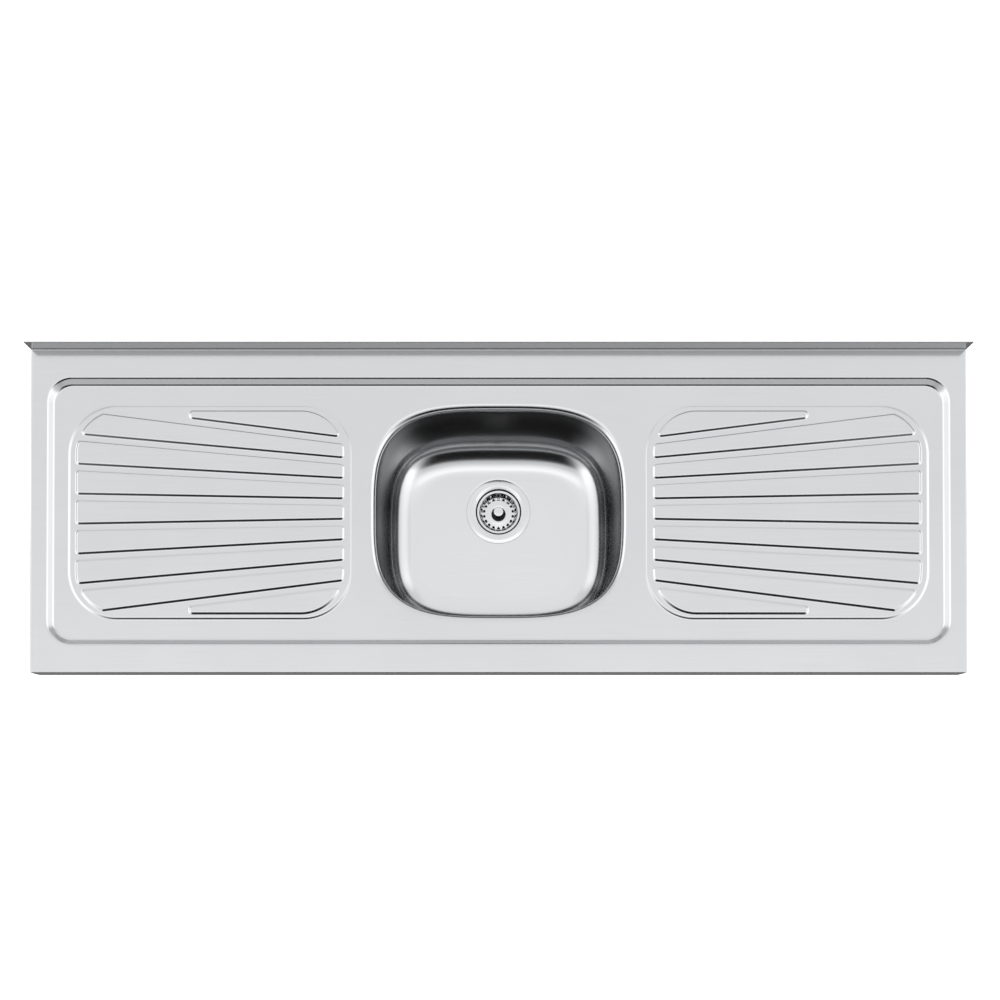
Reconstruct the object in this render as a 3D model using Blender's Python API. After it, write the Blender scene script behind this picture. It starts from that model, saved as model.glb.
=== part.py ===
"""Stainless steel sink top with one bowl, two ribbed drainboards and a basket strainer waste.

Metres, +Z up. x = 0 is the middle of the top, y = 0 is the wall face behind the upstand and
z = 0 is the top of the flat border. The front of the sink looks towards -Y.
"""

import math

import bmesh
import bpy
from mathutils import Vector

SHEET = 0.001
GAP = 0.0003

# Deck: the flat border, its turned-down edges and the upstand against the wall
DECK_LENGTH = 1.500
DECK_DEPTH = 0.520
UPSTAND_THICKNESS = 2 * SHEET
UPSTAND_HEIGHT = 0.028
APRON_HEIGHT = 0.030
LIP_WIDTH = 0.015
FOLD_Y = -UPSTAND_THICKNESS
FRONT_Y = FOLD_Y - DECK_DEPTH
MIDDLE_Y = (FOLD_Y + FRONT_Y) / 2

# Tray: the sunk area inside the border
TRAY_LENGTH = 1.445
TRAY_DEPTH = 0.426
TRAY_CORNER = 0.038
TRAY_DROP = 0.010
TRAY_SLOPE = 0.007

# Drainboards: a plateau on the tray, with a fan of ribs on each plateau
BOARD_OUTER_X = 0.692
BOARD_INNER_X = 0.236
BOARD_DEPTH = 0.345
BOARD_CORNER = 0.078
BOARD_RISE = 0.0015
BOARD_SLOPE = 0.003
FIELD_END_INSET = 0.012
FIELD_SIDE_INSET = 0.008
RIB_RISE = 0.0022
RIB_SLOPE = 0.003
RIB_CORNER = 0.005
RIB_COUNT = 7
RIB_CHANNEL = 0.0085
FAN_PITCH_OUTER = 0.0484
FAN_PITCH_INNER = 0.0329
SHORT_RIB_NOSE_X = 0.498
SHORT_RIB_NOSE_RADIUS = 0.007

# Bowl
BOWL_HALF_LENGTH = 0.209
BOWL_HALF_DEPTH = 0.176
BOWL_SQUARENESS = 3.35
BOWL_POINTS = 40
BOWL_DEPTH = 0.140
FLOOR_SQUARENESS = 4.2
MOUTH_RADIUS = 0.010
WALL_DRAFT = {"side": 0.012, "rear": 0.014, "front": 0.001}
FLOOR_FILLET = {"side": 0.054, "rear": 0.054, "front": 0.050}
FLOOR_FILLET_Z = 0.040
WELL_RADIUS = 0.0565
WELL_SLOPE = 0.0015
WELL_DROP = 0.0026
HOLE_RADIUS = 0.044

# Waste, measured down from the crown of its flange
WASTE_Y = FOLD_Y - 0.224
FLANGE_CROWN = 0.0006
FLANGE_RADIUS = 0.0533
FLANGE_UNDERSIDE = 0.0016
CUP_RADIUS = 0.0385
CUP_WALL = 0.0012
SPIGOT_RADIUS = 0.024
SPIGOT_BORE = 0.0205
SPIGOT_END = 0.062
UPPER_GASKET_THICKNESS = 0.001
LOWER_GASKET_THICKNESS = 0.003
FRICTION_RING_THICKNESS = 0.001
LOCK_NUT_HEIGHT = 0.010
LOCK_NUT_RADIUS = 0.054
COUPLING_NUT_HEIGHT = 0.0185
COUPLING_NUT_RADIUS = 0.030
TAIL_RADIUS = 0.0195
TAIL_BORE = 0.0177
TAIL_LENGTH = 0.075

# Basket
HOLE_COUNT = 18
BASKET_SHEET = 0.0008
FLOOR_HOLE_CIRCLE = 0.0255
FLOOR_HOLE_RADIUS = 0.002
SLOT_WIDTH = 0.0032
SLOT_LENGTH = 0.008

# Stiffeners and pads under the top
STIFFENER_XS = (-0.580, -0.360, 0.360, 0.580)
STIFFENER_LENGTH = 0.396
STIFFENER_HEIGHT = 0.016
STIFFENER_CROWN = 0.030
STIFFENER_FLANGE = 0.014
PAD_SIZE = (0.060, 0.120, 0.003)
PAD_X = 0.094
PAD_Y = MIDDLE_Y - 0.007

TRAY_Z = -TRAY_DROP
BOARD_Z = TRAY_Z + BOARD_RISE
RIB_Z = BOARD_Z + RIB_RISE
MOUTH_Z = TRAY_Z - MOUTH_RADIUS
FLOOR_Z = TRAY_Z - BOWL_DEPTH
WELL_Z = FLOOR_Z - WELL_DROP
BOWL_UNDERSIDE_Z = WELL_Z - SHEET
CROWN_Z = FLOOR_Z + FLANGE_CROWN
WASTE_TOP = Vector((0, WASTE_Y, CROWN_Z))
UP = Vector((0, 0, 1))


# ---------------------------------------------------------------- scene and materials


def clear_scene():
    for obj in list(bpy.data.objects):
        bpy.data.objects.remove(obj, do_unlink=True)


def make_material(name, colour, metallic, roughness):
    material = bpy.data.materials.new(name)
    material.use_nodes = True
    shader = material.node_tree.nodes["Principled BSDF"]
    shader.inputs["Base Color"].default_value = (*colour, 1)
    shader.inputs["Metallic"].default_value = metallic
    shader.inputs["Roughness"].default_value = roughness
    return material


def add_object(name, bm, material, parent=None):
    """Turns a bmesh in world coordinates into an object; a moving piece gets its parent's origin."""
    if parent:
        bmesh.ops.translate(bm, vec=-WASTE_TOP, verts=bm.verts)
    mesh = bpy.data.meshes.new(name)
    bm.to_mesh(mesh)
    bm.free()
    mesh.shade_smooth()
    mesh.set_sharp_from_angle(angle=math.radians(30))
    mesh.materials.append(material)
    obj = bpy.data.objects.new(name, mesh)
    obj.parent = parent
    bpy.context.scene.collection.objects.link(obj)
    return obj


def add_empty(name, place, parent=None):
    empty = bpy.data.objects.new(name, None)
    empty.location = place
    empty.parent = parent
    bpy.context.scene.collection.objects.link(empty)
    return empty


# ---------------------------------------------------------------- outlines, as lists of 2-D points


def rounded_rectangle(left, right, front, rear, radius, steps):
    points = []
    corners = ((right, rear, 0), (left, rear, 90), (left, front, 180), (right, front, 270))
    for x, y, start in corners:
        centre = Vector((x - math.copysign(radius, x - (left + right) / 2),
                         y - math.copysign(radius, y - (front + rear) / 2)))
        for step in range(steps + 1):
            angle = math.radians(start + 90 * step / steps)
            points.append(centre + radius * Vector((math.cos(angle), math.sin(angle))))
    return points


def superellipse(half_x, half_y, centre_y, count, squareness=BOWL_SQUARENESS):
    """A bowl outline: flatter than an ellipse at its sides, with full round corners."""
    points = []
    for step in range(count):
        angle = math.tau * step / count
        cosine, sine = math.cos(angle), math.sin(angle)
        x = half_x * math.copysign(abs(cosine) ** (2 / squareness), cosine)
        y = half_y * math.copysign(abs(sine) ** (2 / squareness), sine)
        points.append(Vector((x, centre_y + y)))
    return points


def circle(radius, centre, count):
    angles = [math.tau * step / count for step in range(count)]
    return [Vector(centre) + radius * Vector((math.cos(a), math.sin(a))) for a in angles]


def clip(points, place, inward):
    """The part of a convex outline on the inward side of a straight line through place."""
    kept = []
    for here, after in zip(points, points[1:] + points[:1]):
        depth, next_depth = (here - place).dot(inward), (after - place).dot(inward)
        if depth >= 0:
            kept.append(here)
        if depth * next_depth < 0:
            kept.append(here.lerp(after, depth / (depth - next_depth)))
    return kept


def round_corners(points, radius_at, steps=3):
    """Swaps each real corner for an arc, and leaves the gentle bends of an arc as they are."""
    rounded = []
    for before, here, after in zip(points[-1:] + points[:-1], points, points[1:] + points[:1]):
        to_before, to_after = (before - here).normalized(), (after - here).normalized()
        inside = to_before.angle(to_after)
        if inside > math.radians(160):
            rounded.append(here)
            continue
        radius = radius_at(here)
        centre = here + (to_before + to_after).normalized() * radius / math.sin(inside / 2)
        start = here + to_before * radius / math.tan(inside / 2) - centre
        turn = math.pi - inside
        for step in range(steps + 1):
            angle = turn * step / steps
            spoke = Vector((start.x * math.cos(angle) - start.y * math.sin(angle),
                            start.x * math.sin(angle) + start.y * math.cos(angle)))
            rounded.append(centre + spoke)
    return rounded


def inset(points, distance):
    """An anticlockwise outline moved inwards, each point along the mitre of its two sides."""
    moved = []
    for before, here, after in zip(points[-1:] + points[:-1], points, points[1:] + points[:1]):
        first = (here - before).normalized()
        second = (after - here).normalized()
        mitre = Vector((-first.y, first.x)) + Vector((-second.y, second.x))
        mitre = 2 * mitre / mitre.length_squared
        moved.append(here + distance * mitre)
    return moved


def without_short_sides(points, shortest=0.0005):
    return [here for here, after in zip(points, points[1:] + points[:1])
            if (after - here).length > shortest]


def mirrored(points):
    """The outline on the other side of x = 0, still anticlockwise."""
    return [Vector((-point.x, point.y)) for point in reversed(points)]


# ---------------------------------------------------------------- bmesh building blocks


def add_loop(bm, points, z):
    return [bm.verts.new((point.x, point.y, z)) for point in points]


def bridge(bm, first, second):
    """Quads between two closed loops of the same length."""
    count = len(first)
    for i in range(count):
        j = (i + 1) % count
        bm.faces.new((first[i], first[j], second[j], second[i]))


def fill(bm, *loops):
    """Fills the flat area inside the first loop and outside the others."""
    edges = []
    for loop in loops:
        for start, end in zip(loop, loop[1:] + loop[:1]):
            edges.append(bm.edges.get((start, end)) or bm.edges.new((start, end)))
    bmesh.ops.triangle_fill(bm, use_beauty=False, edges=edges)


def close_up(bm):
    bmesh.ops.remove_doubles(bm, verts=bm.verts, dist=1e-7)
    bmesh.ops.recalc_face_normals(bm, faces=bm.faces)
    return bm


def turned(profile, segments, centre):
    """A profile of (radius, height) points turned about a vertical axis.

    It is closed, unless it starts and ends on the axis.
    """
    bm = bmesh.new()
    x, y = centre
    points = [bm.verts.new((x + radius, y, z)) for radius, z in profile]
    ends = points[1:] if profile[0][0] == 0 else points[1:] + points[:1]
    edges = [bm.edges.new(pair) for pair in zip(points, ends)]
    bmesh.ops.spin(bm, geom=points + edges, cent=(x, y, 0), axis=UP, angle=math.tau,
                   steps=segments, use_merge=True)
    return close_up(bm)


def ring_profile(inner, outer, bottom, top):
    return [(inner, bottom), (outer, bottom), (outer, top), (inner, top)]


def prism(outlines, bottom, top):
    """An upright prism: the first outline is its outside and a second one is a hole through it."""
    bm = bmesh.new()
    lower = [add_loop(bm, outline, bottom) for outline in outlines]
    upper = [add_loop(bm, outline, top) for outline in outlines]
    for below, above in zip(lower, upper):
        bridge(bm, below, above)
    fill(bm, *lower)
    fill(bm, *upper)
    return close_up(bm)


# ---------------------------------------------------------------- deck sheet


def board_outline():
    """The plateau of the drainboard at +x; the other one mirrors it."""
    half = BOARD_DEPTH / 2
    return rounded_rectangle(BOARD_INNER_X, BOARD_OUTER_X, MIDDLE_Y - half, MIDDLE_Y + half,
                             BOARD_CORNER, 6)


def fan_line(lines_from_middle):
    """A point on a channel's centre line, and its direction towards the outer end."""
    inner = Vector((BOARD_INNER_X + FIELD_END_INSET, MIDDLE_Y))
    outer = Vector((BOARD_OUTER_X - FIELD_END_INSET, MIDDLE_Y))
    inner.y += lines_from_middle * FAN_PITCH_INNER
    outer.y += lines_from_middle * FAN_PITCH_OUTER
    return inner, (outer - inner).normalized()


def rib_outlines():
    """The foot of each rib of the drainboard at +x, from the rear one to the front one."""
    half = BOARD_DEPTH / 2 - FIELD_SIDE_INSET
    field = rounded_rectangle(BOARD_INNER_X + FIELD_END_INSET, BOARD_OUTER_X - FIELD_END_INSET,
                              MIDDLE_Y - half, MIDDLE_Y + half, BOARD_CORNER - FIELD_SIDE_INSET, 6)
    nose = Vector((SHORT_RIB_NOSE_X, MIDDLE_Y))
    outlines = []
    for row in range(RIB_COUNT + 2):
        outline = field
        for line, side in ((row - 1, -1), (row, 1)):
            if not 0 <= line <= RIB_COUNT:
                continue
            place, along = fan_line(RIB_COUNT / 2 - line)
            across = side * Vector((-along.y, along.x))
            outline = clip(outline, place + across * RIB_CHANNEL / 2, across)
        if row in (0, RIB_COUNT + 1):
            outline = clip(outline, nose, Vector((-1, 0)))
        outline = without_short_sides(outline)
        outlines.append(round_corners(outline, rib_corner_radius))
    return outlines


def rib_corner_radius(corner):
    on_nose = abs(corner.x - SHORT_RIB_NOSE_X) < GAP
    return SHORT_RIB_NOSE_RADIUS / 2 if on_nose else RIB_CORNER


def add_step(bm, outline, foot_z, crest_z, width):
    """A sloped step between two levels; returns its outer and its inner loop."""
    outer = add_loop(bm, outline, foot_z)
    inner = add_loop(bm, inset(outline, width), crest_z)
    bridge(bm, outer, inner)
    return outer, inner


def add_relief(bm, lift):
    """One side of the pressed sheet, from the tray's outline inwards to the bowl's mouth."""
    half = TRAY_DEPTH / 2
    tray = rounded_rectangle(-TRAY_LENGTH / 2, TRAY_LENGTH / 2, MIDDLE_Y - half, MIDDLE_Y + half,
                             TRAY_CORNER, 6)
    border, tray_floor = add_step(bm, tray, lift, TRAY_Z + lift, TRAY_SLOPE)
    holes = []
    for side in (mirrored, list):
        board = side(board_outline())
        foot, plateau = add_step(bm, board, TRAY_Z + lift, BOARD_Z + lift, BOARD_SLOPE)
        holes.append(foot)
        feet = []
        for outline in rib_outlines():
            rib_foot, crest = add_step(bm, side(outline), BOARD_Z + lift, RIB_Z + lift, RIB_SLOPE)
            fill(bm, crest)
            feet.append(rib_foot)
        fill(bm, plateau, *feet)
    radius = MOUTH_RADIUS + lift
    rings = []
    for angle in (0, 30, 60, 90):
        sine, cosine = math.sin(math.radians(angle)), math.cos(math.radians(angle))
        outline = superellipse(BOWL_HALF_LENGTH - radius * sine, BOWL_HALF_DEPTH - radius * sine,
                               MIDDLE_Y, BOWL_POINTS)
        rings.append(add_loop(bm, outline, MOUTH_Z + radius * cosine))
    for outer, inner in zip(rings, rings[1:]):
        bridge(bm, outer, inner)
    fill(bm, tray_floor, rings[0], *holes)
    return border, rings[-1]


def add_rectangle(bm, margin, rear_y, z):
    """A four-point loop that far inside the deck's ends and front, with its own rear line."""
    x, front = DECK_LENGTH / 2 - margin, FRONT_Y + margin
    corners = ((-x, front), (x, front), (x, rear_y), (-x, rear_y))
    return [bm.verts.new((*corner, z)) for corner in corners]


def make_deck_sheet(steel):
    bm = bmesh.new()
    border, mouth = add_relief(bm, 0)
    under_border, under_mouth = add_relief(bm, -SHEET)
    bridge(bm, mouth, under_mouth)

    deck = add_rectangle(bm, 0, FOLD_Y, 0)
    fill(bm, deck, border)
    half = DECK_LENGTH / 2
    fold_top = [bm.verts.new((x, FOLD_Y, UPSTAND_HEIGHT)) for x in (half, -half)]
    wall_top = [bm.verts.new((x, 0, UPSTAND_HEIGHT)) for x in (half, -half)]
    foot = add_rectangle(bm, 0, 0, -APRON_HEIGHT)
    bm.faces.new((deck[0], deck[1], foot[1], foot[0]))
    bm.faces.new((deck[1], deck[2], fold_top[0], wall_top[0], foot[2], foot[1]))
    bm.faces.new((deck[3], deck[0], foot[0], foot[3], wall_top[1], fold_top[1]))
    bm.faces.new((deck[2], deck[3], fold_top[1], fold_top[0]))
    bm.faces.new((fold_top[0], fold_top[1], wall_top[1], wall_top[0]))
    bm.faces.new((wall_top[0], wall_top[1], foot[3], foot[2]))

    lip = add_rectangle(bm, LIP_WIDTH, -LIP_WIDTH, -APRON_HEIGHT)
    lip_top = add_rectangle(bm, LIP_WIDTH, -LIP_WIDTH, -APRON_HEIGHT + SHEET)
    apron_inside = add_rectangle(bm, SHEET, -SHEET, -APRON_HEIGHT + SHEET)
    under_deck = add_rectangle(bm, SHEET, -SHEET, -SHEET)
    for outer, inner in ((foot, lip), (lip, lip_top), (lip_top, apron_inside),
                         (apron_inside, under_deck)):
        bridge(bm, outer, inner)
    fill(bm, under_deck, under_border)
    return add_object("deck_sheet", close_up(bm), steel)


# ---------------------------------------------------------------- bowl


def bowl_outline(down_wall, round_fillet):
    """The inside of the bowl, that share of the way down its wall and round its fillet."""
    def inwards(side):
        return MOUTH_RADIUS + WALL_DRAFT[side] * down_wall + FLOOR_FILLET[side] * round_fillet

    rear, front = BOWL_HALF_DEPTH - inwards("rear"), BOWL_HALF_DEPTH - inwards("front")
    squareness = BOWL_SQUARENESS + (FLOOR_SQUARENESS - BOWL_SQUARENESS) * round_fillet
    return superellipse(BOWL_HALF_LENGTH - inwards("side"), (rear + front) / 2,
                        MIDDLE_Y + (rear - front) / 2, BOWL_POINTS, squareness)


def bowl_rings():
    """(outline, z) of each ring from the mouth down to the floor."""
    top = MOUTH_Z - GAP
    fillet_top = FLOOR_Z + FLOOR_FILLET_Z
    rings = [(bowl_outline(0, 0), top), (bowl_outline(0.5, 0), (top + fillet_top) / 2)]
    for angle in (0, 22.5, 45, 67.5, 90):
        sine, cosine = math.sin(math.radians(angle)), math.cos(math.radians(angle))
        rings.append((bowl_outline(1, 1 - cosine), fillet_top - FLOOR_FILLET_Z * sine))
    return rings


def make_bowl(steel):
    bm = bmesh.new()
    loops = [add_loop(bm, outline, z) for outline, z in bowl_rings()]
    for radius, z in ((WELL_RADIUS, FLOOR_Z), (WELL_RADIUS - WELL_SLOPE, WELL_Z),
                      (HOLE_RADIUS, WELL_Z)):
        loops.append(add_loop(bm, circle(radius, (0, WASTE_Y), BOWL_POINTS), z))
    for outer, inner in zip(loops, loops[1:]):
        bridge(bm, outer, inner)
    bmesh.ops.recalc_face_normals(bm, faces=bm.faces)
    floor = min(bm.faces, key=lambda face: face.calc_center_median().z)
    if floor.normal.z < 0:
        bmesh.ops.reverse_faces(bm, faces=bm.faces)
    obj = add_object("bowl", bm, steel)
    solidify = obj.modifiers.new("sheet", "SOLIDIFY")
    solidify.thickness = SHEET
    solidify.offset = -1
    solidify.use_even_offset = True
    return obj


# ---------------------------------------------------------------- waste


def lobed_circle(radius, depth, lobes, centre, count):
    """A nut's outline: a circle with shallow hollows for a wrench or fingers."""
    points = []
    for step in range(count):
        angle = math.tau * step / count
        reach = radius - depth * (0.5 - 0.5 * math.cos(lobes * angle))
        points.append(Vector(centre) + reach * Vector((math.cos(angle), math.sin(angle))))
    return points


def make_waste(chrome, rubber, fibre, plastic):
    centre = (0, WASTE_Y)
    crown, rim, cup = CROWN_Z, FLANGE_RADIUS, CUP_RADIUS
    outside = cup + CUP_WALL
    body = [
        (rim, crown - 0.0009), (rim - 0.0018, crown - 0.0001), (rim - 0.0063, crown),
        (cup + 0.0047, crown - 0.0008), (cup + 0.0032, crown - 0.0022),
        (cup + 0.0030, crown - 0.0030), (cup, crown - 0.0032),
        (cup, crown - 0.0380), (cup - 0.0030, crown - 0.0425), (SPIGOT_BORE, crown - 0.0455),
        (SPIGOT_BORE, crown - SPIGOT_END), (SPIGOT_RADIUS, crown - SPIGOT_END),
        (SPIGOT_RADIUS, crown - 0.0472), (outside - 0.0030, crown - 0.0440),
        (outside, crown - 0.0390), (outside, crown - 0.0044), (cup + 0.0042, crown - 0.0042),
        (cup + 0.0044, crown - FLANGE_UNDERSIDE), (rim, crown - FLANGE_UNDERSIDE),
    ]
    add_object("strainer_body", turned(body, 32, centre), chrome)

    top = crown - FLANGE_UNDERSIDE - GAP
    upper = ring_profile(HOLE_RADIUS + 0.001, rim - 0.001, top - UPPER_GASKET_THICKNESS, top)
    add_object("upper_gasket", turned(upper, 32, centre), rubber)

    top = BOWL_UNDERSIDE_Z - GAP
    lower = ring_profile(cup + 0.0050, rim, top - LOWER_GASKET_THICKNESS, top)
    add_object("lower_gasket", turned(lower, 32, centre), rubber)

    top -= LOWER_GASKET_THICKNESS + GAP
    slip = ring_profile(outside + 0.0006, rim, top - FRICTION_RING_THICKNESS, top)
    add_object("friction_ring", turned(slip, 32, centre), fibre)

    top -= FRICTION_RING_THICKNESS + GAP
    nut = [lobed_circle(LOCK_NUT_RADIUS, 0.004, 8, centre, 48),
           circle(outside + 0.0005, centre, 32)]
    add_object("lock_nut", prism(nut, top - LOCK_NUT_HEIGHT, top), plastic)

    top = crown - SPIGOT_END - GAP
    washer_thickness, flange_thickness, flange_reach = 0.002, 0.002, SPIGOT_RADIUS - 0.0002
    washer = ring_profile(SPIGOT_BORE, flange_reach, top - washer_thickness, top)
    add_object("outlet_washer", turned(washer, 24, centre), rubber)

    top -= washer_thickness + GAP
    seat = top - flange_thickness
    tail = [(TAIL_BORE, top), (TAIL_BORE, top - TAIL_LENGTH), (TAIL_RADIUS, top - TAIL_LENGTH),
            (TAIL_RADIUS, seat), (flange_reach, seat), (flange_reach, top)]
    add_object("tailpiece", turned(tail, 24, centre), chrome)

    lip_top = seat - GAP
    lip_bottom = lip_top - 0.0025
    bore = SPIGOT_RADIUS + 0.0005
    grip = COUPLING_NUT_RADIUS
    nut = [(TAIL_RADIUS + GAP, lip_bottom), (grip - 0.002, lip_bottom), (grip, lip_bottom + 0.002),
           (grip, lip_bottom + COUPLING_NUT_HEIGHT), (bore, lip_bottom + COUPLING_NUT_HEIGHT),
           (bore, lip_top), (TAIL_RADIUS + GAP, lip_top)]
    add_object("coupling_nut", turned(nut, 24, centre), plastic)


# ---------------------------------------------------------------- basket strainer

# The basket's sheet, as (distance along the sheet from the axis, radius, height below the crown)
BASKET_PROFILE = (
    (0.0040, 0.0040, -0.0140),
    (0.0170, 0.0170, -0.0150),
    (0.0225, 0.0225, -0.0160),
    (0.0285, 0.0285, -0.0160),
    (0.0420, 0.0330, -0.0040),
    (0.0440, 0.0350, -0.0029),
    (0.0493, 0.0403, -0.0026),
)
FLOOR_BAND = 2
WALL_BAND = 3


def basket_point(point):
    """Folds a point of the flat blank up into the basket."""
    reach = point.length
    for (start, radius, z), (end, next_radius, next_z) in zip(BASKET_PROFILE, BASKET_PROFILE[1:]):
        if reach <= end + 1e-6:
            share = (reach - start) / (end - start)
            spoke = point.normalized() * (radius + share * (next_radius - radius))
            return Vector((spoke.x, spoke.y + WASTE_Y, CROWN_Z + z + share * (next_z - z)))
    raise ValueError("a point lies outside the basket's blank")


def spoke_hole(reach, half_length, half_width, turn, count=6):
    """A round hole or a slot along a spoke of the blank, clockwise so that it is a hole."""
    points = []
    for step in range(count):
        angle = -math.tau * (step + 0.5) / count
        along = reach + half_length * math.cos(angle) / math.cos(math.pi / count)
        across = half_width * math.sin(angle)
        points.append(Vector((along * math.cos(turn) - across * math.sin(turn),
                              along * math.sin(turn) + across * math.cos(turn))))
    return points


def make_basket_cup(steel, parent):
    bm = bmesh.new()
    rings = [add_loop(bm, circle(start, (0, 0), 2 * HOLE_COUNT), 0)
             for start, _, _ in BASKET_PROFILE]
    wall_start, wall_end = BASKET_PROFILE[WALL_BAND][0], BASKET_PROFILE[WALL_BAND + 1][0]
    holes = {FLOOR_BAND: [], WALL_BAND: []}
    for step in range(HOLE_COUNT):
        turn = math.tau * step / HOLE_COUNT
        hole = spoke_hole(FLOOR_HOLE_CIRCLE, FLOOR_HOLE_RADIUS, FLOOR_HOLE_RADIUS, turn)
        slot = spoke_hole((wall_start + wall_end) / 2, SLOT_LENGTH / 2, SLOT_WIDTH / 2, turn)
        holes[FLOOR_BAND].append(add_loop(bm, hole, 0))
        holes[WALL_BAND].append(add_loop(bm, slot, 0))
    for band, (inner, outer) in enumerate(zip(rings, rings[1:])):
        if band in holes:
            fill(bm, outer, inner, *holes[band])
        else:
            bridge(bm, outer, inner)
    for vertex in bm.verts:
        vertex.co = basket_point(vertex.co.to_2d())
    bmesh.ops.recalc_face_normals(bm, faces=bm.faces)
    rim_face = max(bm.faces, key=lambda face: face.calc_center_median().z)
    if rim_face.normal.z < 0:
        bmesh.ops.reverse_faces(bm, faces=bm.faces)
    obj = add_object("basket_cup", bm, steel, parent)
    solidify = obj.modifiers.new("sheet", "SOLIDIFY")
    solidify.thickness = BASKET_SHEET
    solidify.offset = 1
    return obj


def make_strainer(chrome, rubber, steel):
    """The lift-out strainer. Its heights are measured from the crown of the waste's flange."""
    strainer = add_empty("strainer_axis", WASTE_TOP)
    basket = add_empty("basket_axis", (0, 0, 0), strainer)
    make_basket_cup(steel, basket)
    stem, collar, knob = 0.0028, 0.0055, 0.00875
    fit = stem + GAP
    pieces = (
        ("basket_post", chrome, (
            (0, -0.0485), (stem, -0.0485), (stem, -0.0377), (0.0050, -0.0377), (0.0050, -0.0360),
            (0.0035, -0.0345), (0.0035, -0.0175), (collar, -0.0160), (collar, -0.0145),
            (stem, -0.0145), (stem, -0.0065), (0, -0.0065))),
        ("basket_knob", chrome, (
            (0, 0.0018), (0.0070, 0.0012), (knob, -0.0005), (knob, -0.0030), (0.0050, -0.0065),
            (0.0048, -0.0110), (0.0060, -0.0128), (fit, -0.0128), (fit, -0.0062), (0, -0.0062))),
        ("basket_stopper", rubber, (
            (fit, -0.0442), (0.0240, -0.0442), (0.0245, -0.0425), (0.0220, -0.0400),
            (fit, -0.0380))),
        ("stopper_nut", chrome, (
            (fit, -0.0476), (0.0055, -0.0476), (0.0060, -0.0470), (0.0060, -0.0445),
            (fit, -0.0445))),
    )
    for name, material, profile in pieces:
        raised = [(radius, CROWN_Z + z) for radius, z in profile]
        add_object(name, turned(raised, 24, (0, WASTE_Y)), material, strainer)


# ---------------------------------------------------------------- under the top


def make_stiffener(name, x, steel):
    """A hat section along Y, its flanges up against the underside of the tray."""
    top = TRAY_Z - SHEET - GAP
    half = STIFFENER_CROWN / 2
    inside = [(half + STIFFENER_FLANGE, top), (half, top),
              (half - 2 * SHEET, top - STIFFENER_HEIGHT + SHEET)]
    outside = [(half - SHEET, top - STIFFENER_HEIGHT), (half + SHEET, top - SHEET),
               (half + STIFFENER_FLANGE, top - SHEET)]
    section = inside + [(-across, z) for across, z in inside[::-1] + outside[::-1]] + outside
    bm = bmesh.new()
    ends = [[bm.verts.new((x + across, MIDDLE_Y + side * STIFFENER_LENGTH / 2, z))
             for across, z in section] for side in (-1, 1)]
    bridge(bm, *ends)
    for end in ends:
        bm.faces.new(end)
    add_object(name, close_up(bm), steel)


def make_pad(name, x, rubber):
    length, depth, thickness = PAD_SIZE
    outline = rounded_rectangle(x - length / 2, x + length / 2, PAD_Y - depth / 2,
                                PAD_Y + depth / 2, 0.008, 4)
    top = FLOOR_Z - SHEET - GAP
    add_object(name, prism([outline], top - thickness, top), rubber)


def main():
    clear_scene()
    steel = make_material("brushed_steel", (0.62, 0.63, 0.64), 1.0, 0.28)
    polished = make_material("polished_steel", (0.70, 0.71, 0.72), 1.0, 0.15)
    galvanised = make_material("galvanised_steel", (0.52, 0.53, 0.54), 1.0, 0.45)
    rubber = make_material("black_rubber", (0.03, 0.03, 0.03), 0.0, 0.75)
    fibre = make_material("slip_ring_fibre", (0.72, 0.66, 0.52), 0.0, 0.80)
    plastic = make_material("nut_plastic", (0.78, 0.78, 0.76), 0.0, 0.45)
    damping = make_material("damping_pad", (0.10, 0.10, 0.11), 0.0, 0.85)
    make_deck_sheet(steel)
    make_bowl(steel)
    make_waste(polished, rubber, fibre, plastic)
    make_strainer(polished, rubber, polished)
    for number, x in enumerate(STIFFENER_XS, 1):
        make_stiffener(f"stiffener_{number}", x, galvanised)
    for side, x in (("left", -PAD_X), ("right", PAD_X)):
        make_pad(f"damping_pad_{side}", x, damping)


main()
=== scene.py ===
"""Looks for the stainless steel sink top: its sheet, bowl, waste and strainer, the light and the camera.

Everything is in metres in the frame of the CAD part: x = 0 is the middle, y = 0 the wall face,
z = 0 the flat border of the top. The front of the sink looks towards -Y.
"""

import math

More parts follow.
